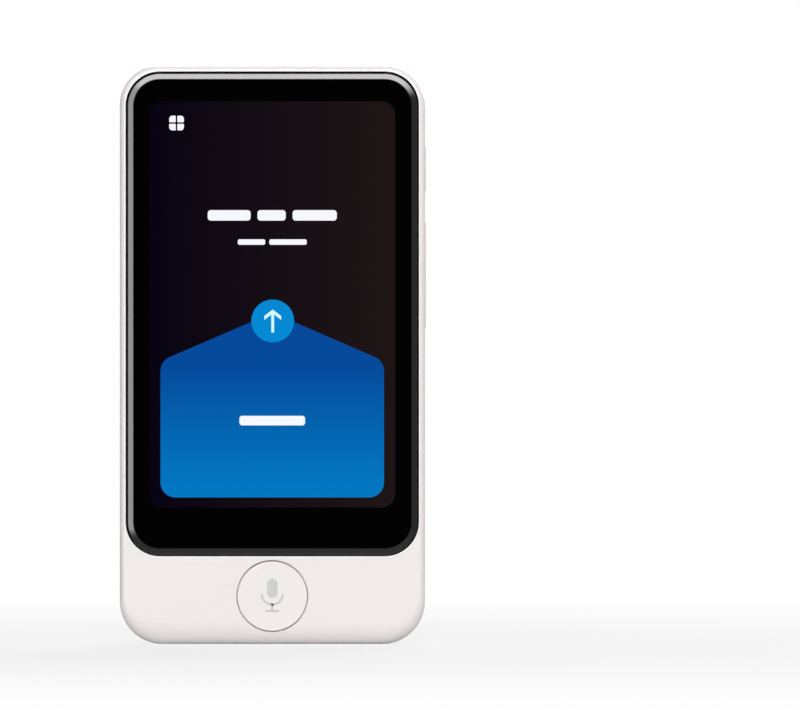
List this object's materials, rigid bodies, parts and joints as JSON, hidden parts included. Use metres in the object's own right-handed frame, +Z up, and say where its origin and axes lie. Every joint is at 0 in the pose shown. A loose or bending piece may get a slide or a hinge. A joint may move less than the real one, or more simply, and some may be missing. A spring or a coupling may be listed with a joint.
{
  "type": "handheld translator",
  "caption": "Slim hand-held voice translator with a tall touch screen, a round talk button in the chin, side keys, a rear camera with flash and a strap bar.",
  "frame": {"origin": "middle of the footprint on the surface that the unit stands on, under the centre of its bounding box", "axes": "+Z up along the unit's height; +Y from the screen to the back; +X to the right as the screen is read"},
  "size_m": [0.0672, 0.0116, 0.127],
  "materials": {
    "white_plastic": "satin warm white",
    "black_plastic": "glossy black",
    "cover_glass": "clear glass over a black print",
    "black_tape": "black adhesive film",
    "display_glass": "display panel with its picture",
    "backlight": "white reflector",
    "frame_metal": "die-cast, matt",
    "screw_steel": "plain steel",
    "spring_steel": "spring steel",
    "circuit_board": "green resin board",
    "socket_steel": "nickel-plated steel",
    "chip_resin": "black moulded resin",
    "shield_steel": "tinned steel sheet",
    "pad_rubber": "soft silicone",
    "foam": "black foam ring",
    "lens_glass": "dark coated glass",
    "led_resin": "yellow phosphor",
    "clear_plastic": "clear, cream-tinted",
    "battery_foil": "dark grey foil pouch",
    "flex_strip": "amber polyimide film",
    "cone_foil": "dark film",
    "card_plastic": "plain card",
    "rotor_metal": "tungsten alloy weight"
  },
  "bodies": {
    "casing": {"front_housing": "white_plastic", "rear_cover": "white_plastic", "screen_bezel": "black_plastic", "cover_glass": "cover_glass", "glass_adhesive": "black_tape", "lcd_panel": "display_glass", "backlight_unit": "backlight", "mid_frame": "frame_metal", "frame_screws": "screw_steel", "lower_board_screws": "screw_steel", "main_board_screws": "screw_steel", "talk_button_dome": "spring_steel", "lower_board": "circuit_board", "usb_socket": "socket_steel", "usb_tongue": "black_plastic", "main_board": "circuit_board", "processor": "chip_resin", "memory_chip": "chip_resin", "shield_can": "shield_steel", "thermal_pad": "pad_rubber", "sim_reader": "shield_steel", "lever_pivot_pin": "screw_steel", "camera_module": "black_plastic", "camera_gasket": "foam", "camera_window": "lens_glass", "flash_led": "led_resin", "flash_lens": "clear_plastic", "battery_pack": "battery_foil", "battery_adhesive": "black_tape", "battery_connector": "black_plastic", "battery_lead": "flex_strip", "side_key_bracket": "frame_metal", "side_key_flex": "flex_strip", "side_switches": "spring_steel", "speaker_left": "black_plastic", "speaker_right": "black_plastic", "speaker_cones": "cone_foil", "bottom_microphone": "shield_steel", "top_microphone": "shield_steel", "microphone_boots": "pad_rubber", "motor_can": "shield_steel", "motor_shaft": "screw_steel", "display_flex": "flex_strip", "display_connector": "black_plastic", "board_link_flex": "flex_strip", "link_connector": "black_plastic", "antenna_flex": "flex_strip"},
    "talk_key": {"talk_button": "white_plastic"},
    "power_key": {"power_button": "white_plastic"},
    "volume_key": {"volume_rocker": "white_plastic"},
    "card_drawer": {"sim_tray": "white_plastic", "sim_card": "card_plastic"},
    "eject_pusher": {"eject_rod": "screw_steel"},
    "eject_swing": {"eject_lever": "spring_steel"},
    "motor_mass": {"motor_rotor": "rotor_metal"},
    "focus_carrier": {"autofocus_lens": "lens_glass"}
  },
  "joints": [
    {"name": "talk_button_press", "type": "slide", "parent": "casing", "child": "talk_key", "axis": [0, 1, 0], "range_m": [0, 0.0003], "stiffness_N_per_m": 3000, "deforming": ["talk_button_dome"]},
    {"name": "power_button_press", "type": "slide", "parent": "casing", "child": "power_key", "axis": [-1, 0, 0], "range_m": [0, 0.00025], "stiffness_N_per_m": 2500},
    {"name": "volume_rocker_tilt", "type": "hinge", "parent": "casing", "child": "volume_key", "pos_m": [0.03135, -0.00055, 0.0812], "axis": [0, 1, 0], "range_deg": [-1.4, 1.4], "stiffness_Nm_per_rad": 0.4},
    {"name": "card_tray_slide", "type": "slide", "parent": "casing", "child": "card_drawer", "axis": [-1, 0, 0], "range_m": [0, 0.0175]},
    {"name": "eject_rod_push", "type": "slide", "parent": "casing", "child": "eject_pusher", "axis": [1, 0, 0], "range_m": [0, 0.00032], "stiffness_N_per_m": 50},
    {"name": "eject_lever_swing", "type": "hinge", "parent": "casing", "child": "eject_swing", "pos_m": [-0.0171, 0.00022, 0.1079], "axis": [0, 1, 0], "range_deg": [0, 12]},
    {"name": "motor_spin", "type": "hinge", "parent": "casing", "child": "motor_mass", "pos_m": [-0.0185, -0.0008, 0.012], "axis": [0, 1, 0], "continuous": true},
    {"name": "autofocus_travel", "type": "slide", "parent": "casing", "child": "focus_carrier", "axis": [0, 1, 0], "range_m": [0, 0.00025], "stiffness_N_per_m": 20}
  ],
  "couplings": [
    {"joint": "eject_lever_swing", "follows": "eject_rod_push", "rad_per_m": 645}
  ]
}
